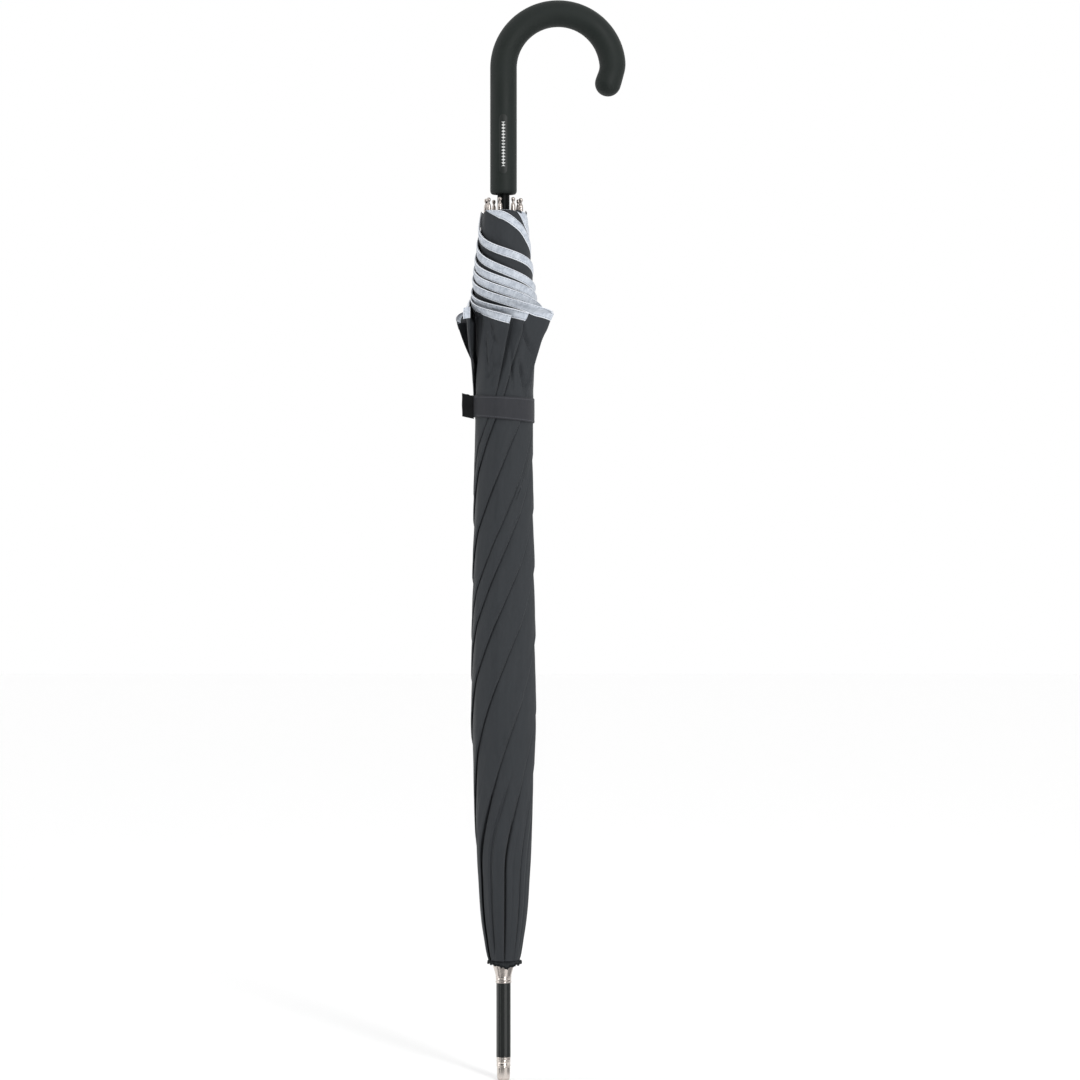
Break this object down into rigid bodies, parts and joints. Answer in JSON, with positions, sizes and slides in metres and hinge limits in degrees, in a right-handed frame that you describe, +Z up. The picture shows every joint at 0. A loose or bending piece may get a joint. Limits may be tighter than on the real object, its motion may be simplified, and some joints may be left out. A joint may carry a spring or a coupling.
{
  "type": "stick umbrella",
  "caption": "Long furled stick umbrella with a crook handle, hinged ribs and stretchers on a sliding runner, wrap strap and metal ferrule tip.",
  "frame": {"origin": "centre of the ferrule's flat end, on the shaft's axis", "axes": "+Z up along the shaft towards the handle, +X the way the hook bends, the label plate on the -Y side"},
  "size_m": [0.1406, 0.0792, 0.89],
  "materials": {
    "shaft_black": "satin black paint over steel tube",
    "nickel": "polished warm nickel plate",
    "collar_nickel": "polished warm nickel plate",
    "pin_steel": "bright steel pin",
    "rosette_cloth": "black pleated cloth",
    "notch_metal": "die-cast, plain",
    "catch_steel": "spring steel",
    "runner_plastic": "matte moulded plastic",
    "rib_steel": "black lacquered fluted steel",
    "rod_steel": "black lacquered spring steel",
    "tip_nickel": "bright nickel plate",
    "stretcher_steel": "black lacquered steel",
    "canopy_cloth": "charcoal pongee, plain weave",
    "gore_cloth": "charcoal pongee, plain weave",
    "strap_cloth": "charcoal pongee, stitched double",
    "tab_cloth": "black woven tape",
    "handle_plastic": "soft-touch matte, greenish charcoal",
    "label_metal": "blank printed plate"
  },
  "bodies": {
    "shaft": {"shaft_tube": "shaft_black", "ferrule_tube": "shaft_black", "ferrule_tip": "nickel", "crown_collar": "collar_nickel", "crown_pin": "pin_steel", "crown_rosette": "rosette_cloth", "top_notch": "notch_metal", "notch_pins": "pin_steel", "runner_stop": "pin_steel", "catch_pins": "pin_steel", "canopy": "canopy_cloth", "hook_handle": "handle_plastic", "label_plate": "label_metal"},
    "bottom_catch": {"bottom_catch": "catch_steel"},
    "top_catch": {"top_catch": "catch_steel"},
    "runner": {"runner_sleeve": "runner_plastic", "runner_pins": "pin_steel"},
    "rib_1": {"rib_1": "rib_steel"},
    "rod_1": {"rod_1": "rod_steel", "tip_1": "tip_nickel", "strap": "strap_cloth"},
    "stretcher_1": {"stretcher_1": "stretcher_steel"},
    "rib_2": {"rib_2": "rib_steel"},
    "rod_2": {"rod_2": "rod_steel", "tip_2": "tip_nickel"},
    "stretcher_2": {"stretcher_2": "stretcher_steel"},
    "rib_3": {"rib_3": "rib_steel"},
    "rod_3": {"rod_3": "rod_steel", "tip_3": "tip_nickel"},
    "stretcher_3": {"stretcher_3": "stretcher_steel"},
    "rib_4": {"rib_4": "rib_steel"},
    "rod_4": {"rod_4": "rod_steel", "tip_4": "tip_nickel"},
    "stretcher_4": {"stretcher_4": "stretcher_steel"},
    "rib_5": {"rib_5": "rib_steel"},
    "rod_5": {"rod_5": "rod_steel", "tip_5": "tip_nickel"},
    "stretcher_5": {"stretcher_5": "stretcher_steel"},
    "rib_6": {"rib_6": "rib_steel"},
    "rod_6": {"rod_6": "rod_steel", "tip_6": "tip_nickel"},
    "stretcher_6": {"stretcher_6": "stretcher_steel"},
    "rib_7": {"rib_7": "rib_steel"},
    "rod_7": {"rod_7": "rod_steel", "tip_7": "tip_nickel"},
    "stretcher_7": {"stretcher_7": "stretcher_steel"},
    "rib_8": {"rib_8": "rib_steel"},
    "rod_8": {"rod_8": "rod_steel", "tip_8": "tip_nickel"},
    "stretcher_8": {"stretcher_8": "stretcher_steel"},
    "strap_tab": {"strap_tab": "tab_cloth"},
    "gore_in_1": {"gore_in_1": "gore_cloth"},
    "gore_out_1": {"gore_out_1": "gore_cloth"},
    "gore_in_3": {"gore_in_3": "gore_cloth"},
    "gore_out_3": {"gore_out_3": "gore_cloth"},
    "gore_in_5": {"gore_in_5": "gore_cloth"},
    "gore_out_5": {"gore_out_5": "gore_cloth"},
    "gore_in_7": {"gore_in_7": "gore_cloth"},
    "gore_out_7": {"gore_out_7": "gore_cloth"}
  },
  "joints": [
    {"name": "canopy_open", "type": "hinge", "parent": "shaft", "child": "rib_1", "pos_m": [-0.00624, -0.00417, 0.104], "axis": [0.5556, -0.8315, 0], "range_deg": [0, 76], "deforming": ["canopy", "strap", "gore_in_1", "gore_in_3", "gore_in_5", "gore_in_7", "gore_out_1", "gore_out_3", "gore_out_5", "gore_out_7"]},
    {"name": "stretcher_1_swing", "type": "hinge", "parent": "rib_1", "child": "stretcher_1", "pos_m": [-0.00898, -0.006, 0.39398], "axis": [0.5556, -0.8315, 0], "range_deg": [-152, 0]},
    {"name": "rod_1_flex", "type": "hinge", "parent": "rib_1", "child": "rod_1", "pos_m": [-0.00983, -0.00657, 0.48397], "axis": [0.5556, -0.8315, 0], "range_deg": [-22, 0]},
    {"name": "rib_2_swing", "type": "hinge", "parent": "shaft", "child": "rib_2", "pos_m": [-0.00146, -0.00736, 0.104], "axis": [0.9808, -0.1951, 0], "range_deg": [0, 76]},
    {"name": "stretcher_2_swing", "type": "hinge", "parent": "rib_2", "child": "stretcher_2", "pos_m": [-0.00211, -0.01059, 0.39398], "axis": [0.9808, -0.1951, 0], "range_deg": [-152, 0]},
    {"name": "rod_2_flex", "type": "hinge", "parent": "rib_2", "child": "rod_2", "pos_m": [-0.00231, -0.0116, 0.48397], "axis": [0.9808, -0.1951, 0], "range_deg": [-22, 0]},
    {"name": "rib_3_swing", "type": "hinge", "parent": "shaft", "child": "rib_3", "pos_m": [0.00417, -0.00624, 0.104], "axis": [0.8315, 0.5556, 0], "range_deg": [0, 76]},
    {"name": "stretcher_3_swing", "type": "hinge", "parent": "rib_3", "child": "stretcher_3", "pos_m": [0.006, -0.00898, 0.39398], "axis": [0.8315, 0.5556, 0], "range_deg": [-152, 0]},
    {"name": "rod_3_flex", "type": "hinge", "parent": "rib_3", "child": "rod_3", "pos_m": [0.00657, -0.00983, 0.48397], "axis": [0.8315, 0.5556, 0], "range_deg": [-22, 0]},
    {"name": "rib_4_swing", "type": "hinge", "parent": "shaft", "child": "rib_4", "pos_m": [0.00736, -0.00146, 0.104], "axis": [0.1951, 0.9808, 0], "range_deg": [0, 76]},
    {"name": "stretcher_4_swing", "type": "hinge", "parent": "rib_4", "child": "stretcher_4", "pos_m": [0.01059, -0.00211, 0.39398], "axis": [0.1951, 0.9808, 0], "range_deg": [-152, 0]},
    {"name": "rod_4_flex", "type": "hinge", "parent": "rib_4", "child": "rod_4", "pos_m": [0.0116, -0.00231, 0.48397], "axis": [0.1951, 0.9808, 0], "range_deg": [-22, 0]},
    {"name": "rib_5_swing", "type": "hinge", "parent": "shaft", "child": "rib_5", "pos_m": [0.00624, 0.00417, 0.104], "axis": [-0.5556, 0.8315, 0], "range_deg": [0, 76]},
    {"name": "stretcher_5_swing", "type": "hinge", "parent": "rib_5", "child": "stretcher_5", "pos_m": [0.00898, 0.006, 0.39398], "axis": [-0.5556, 0.8315, 0], "range_deg": [-152, 0]},
    {"name": "rod_5_flex", "type": "hinge", "parent": "rib_5", "child": "rod_5", "pos_m": [0.00983, 0.00657, 0.48397], "axis": [-0.5556, 0.8315, 0], "range_deg": [-22, 0]},
    {"name": "rib_6_swing", "type": "hinge", "parent": "shaft", "child": "rib_6", "pos_m": [0.00146, 0.00736, 0.104], "axis": [-0.9808, 0.1951, 0], "range_deg": [0, 76]},
    {"name": "stretcher_6_swing", "type": "hinge", "parent": "rib_6", "child": "stretcher_6", "pos_m": [0.00211, 0.01059, 0.39398], "axis": [-0.9808, 0.1951, 0], "range_deg": [-152, 0]},
    {"name": "rod_6_flex", "type": "hinge", "parent": "rib_6", "child": "rod_6", "pos_m": [0.00231, 0.0116, 0.48397], "axis": [-0.9808, 0.1951, 0], "range_deg": [-22, 0]},
    {"name": "rib_7_swing", "type": "hinge", "parent": "shaft", "child": "rib_7", "pos_m": [-0.00417, 0.00624, 0.104], "axis": [-0.8315, -0.5556, 0], "range_deg": [0, 76]},
    {"name": "stretcher_7_swing", "type": "hinge", "parent": "rib_7", "child": "stretcher_7", "pos_m": [-0.006, 0.00898, 0.39398], "axis": [-0.8315, -0.5556, 0], "range_deg": [-152, 0]},
    {"name": "rod_7_flex", "type": "hinge", "parent": "rib_7", "child": "rod_7", "pos_m": [-0.00657, 0.00983, 0.48397], "axis": [-0.8315, -0.5556, 0], "range_deg": [-22, 0]},
    {"name": "rib_8_swing", "type": "hinge", "parent": "shaft", "child": "rib_8", "pos_m": [-0.00736, 0.00146, 0.104], "axis": [-0.1951, -0.9808, 0], "range_deg": [0, 76]},
    {"name": "stretcher_8_swing", "type": "hinge", "parent": "rib_8", "child": "stretcher_8", "pos_m": [-0.01059, 0.00211, 0.39398], "axis": [-0.1951, -0.9808, 0], "range_deg": [-152, 0]},
    {"name": "rod_8_flex", "type": "hinge", "parent": "rib_8", "child": "rod_8", "pos_m": [-0.0116, 0.00231, 0.48397], "axis": [-0.1951, -0.9808, 0], "range_deg": [-22, 0]},
    {"name": "runner_swing", "type": "hinge", "parent": "stretcher_1", "child": "runner", "pos_m": [-0.00624, -0.00417, 0.68396], "axis": [0.5556, -0.8315, 0], "range_deg": [0, 76]},
    {"name": "gore_in_1_spread", "type": "hinge", "parent": "rib_1", "child": "gore_in_1", "pos_m": [-0.00473, -0.00316, 0.09672], "axis": [0.8068, 0.5391, 0.2419], "range_deg": [0, 90]},
    {"name": "gore_out_1_spread", "type": "hinge", "parent": "rod_1", "child": "gore_out_1", "pos_m": [0.11552, 0.07719, 0.12722], "axis": [0.6727, 0.4495, 0.5878], "range_deg": [0, 90]},
    {"name": "gore_in_3_spread", "type": "hinge", "parent": "rib_3", "child": "gore_in_3", "pos_m": [0.00316, -0.00473, 0.09672], "axis": [-0.5391, 0.8068, 0.2419], "range_deg": [0, 90]},
    {"name": "gore_out_3_spread", "type": "hinge", "parent": "rod_3", "child": "gore_out_3", "pos_m": [-0.07719, 0.11552, 0.12722], "axis": [-0.4495, 0.6727, 0.5878], "range_deg": [0, 90]},
    {"name": "gore_in_5_spread", "type": "hinge", "parent": "rib_5", "child": "gore_in_5", "pos_m": [0.00473, 0.00316, 0.09672], "axis": [-0.8068, -0.5391, 0.2419], "range_deg": [0, 90]},
    {"name": "gore_out_5_spread", "type": "hinge", "parent": "rod_5", "child": "gore_out_5", "pos_m": [-0.11552, -0.07719, 0.12722], "axis": [-0.6727, -0.4495, 0.5878], "range_deg": [0, 90]},
    {"name": "gore_in_7_spread", "type": "hinge", "parent": "rib_7", "child": "gore_in_7", "pos_m": [-0.00316, 0.00473, 0.09672], "axis": [0.5391, -0.8068, 0.2419], "range_deg": [0, 90]},
    {"name": "gore_out_7_spread", "type": "hinge", "parent": "rod_7", "child": "gore_out_7", "pos_m": [0.07719, -0.11552, 0.12722], "axis": [0.4495, -0.6727, 0.5878], "range_deg": [0, 90]},
    {"name": "strap_tab_peel", "type": "hinge", "parent": "rod_1", "child": "strap_tab", "pos_m": [-0.02595, -0.0059, 0.553], "axis": [0, 0, 1], "range_deg": [-35, 0]},
    {"name": "bottom_catch_press", "type": "hinge", "parent": "shaft", "child": "bottom_catch", "pos_m": [0, -0.002, 0.67316], "axis": [1, 0, 0], "range_deg": [-5, 0], "stiffness_Nm_per_rad": 0.5, "deforming": ["bottom_catch"]},
    {"name": "top_catch_press", "type": "hinge", "parent": "shaft", "child": "top_catch", "pos_m": [0, -0.002, 0.2808], "axis": [1, 0, 0], "range_deg": [0, 5], "stiffness_Nm_per_rad": 0.5, "deforming": ["top_catch"]}
  ],
  "couplings": [
    {"joint": "stretcher_1_swing", "follows": "canopy_open", "ratio": -2},
    {"joint": "rod_1_flex", "follows": "canopy_open", "ratio": -0.28947},
    {"joint": "rib_2_swing", "follows": "canopy_open", "ratio": 1},
    {"joint": "stretcher_2_swing", "follows": "canopy_open", "ratio": -2},
    {"joint": "rod_2_flex", "follows": "canopy_open", "ratio": -0.28947},
    {"joint": "rib_3_swing", "follows": "canopy_open", "ratio": 1},
    {"joint": "stretcher_3_swing", "follows": "canopy_open", "ratio": -2},
    {"joint": "rod_3_flex", "follows": "canopy_open", "ratio": -0.28947},
    {"joint": "rib_4_swing", "follows": "canopy_open", "ratio": 1},
    {"joint": "stretcher_4_swing", "follows": "canopy_open", "ratio": -2},
    {"joint": "rod_4_flex", "follows": "canopy_open", "ratio": -0.28947},
    {"joint": "rib_5_swing", "follows": "canopy_open", "ratio": 1},
    {"joint": "stretcher_5_swing", "follows": "canopy_open", "ratio": -2},
    {"joint": "rod_5_flex", "follows": "canopy_open", "ratio": -0.28947},
    {"joint": "rib_6_swing", "follows": "canopy_open", "ratio": 1},
    {"joint": "stretcher_6_swing", "follows": "canopy_open", "ratio": -2},
    {"joint": "rod_6_flex", "follows": "canopy_open", "ratio": -0.28947},
    {"joint": "rib_7_swing", "follows": "canopy_open", "ratio": 1},
    {"joint": "stretcher_7_swing", "follows": "canopy_open", "ratio": -2},
    {"joint": "rod_7_flex", "follows": "canopy_open", "ratio": -0.28947},
    {"joint": "rib_8_swing", "follows": "canopy_open", "ratio": 1},
    {"joint": "stretcher_8_swing", "follows": "canopy_open", "ratio": -2},
    {"joint": "rod_8_flex", "follows": "canopy_open", "ratio": -0.28947},
    {"joint": "runner_swing", "follows": "canopy_open", "ratio": 1},
    {"joint": "gore_in_1_spread", "follows": "canopy_open", "ratio": 1.1842},
    {"joint": "gore_out_1_spread", "follows": "canopy_open", "ratio": 1.1842},
    {"joint": "gore_in_3_spread", "follows": "canopy_open", "ratio": 1.1842},
    {"joint": "gore_out_3_spread", "follows": "canopy_open", "ratio": 1.1842},
    {"joint": "gore_in_5_spread", "follows": "canopy_open", "ratio": 1.1842},
    {"joint": "gore_out_5_spread", "follows": "canopy_open", "ratio": 1.1842},
    {"joint": "gore_in_7_spread", "follows": "canopy_open", "ratio": 1.1842},
    {"joint": "gore_out_7_spread", "follows": "canopy_open", "ratio": 1.1842}
  ]
}
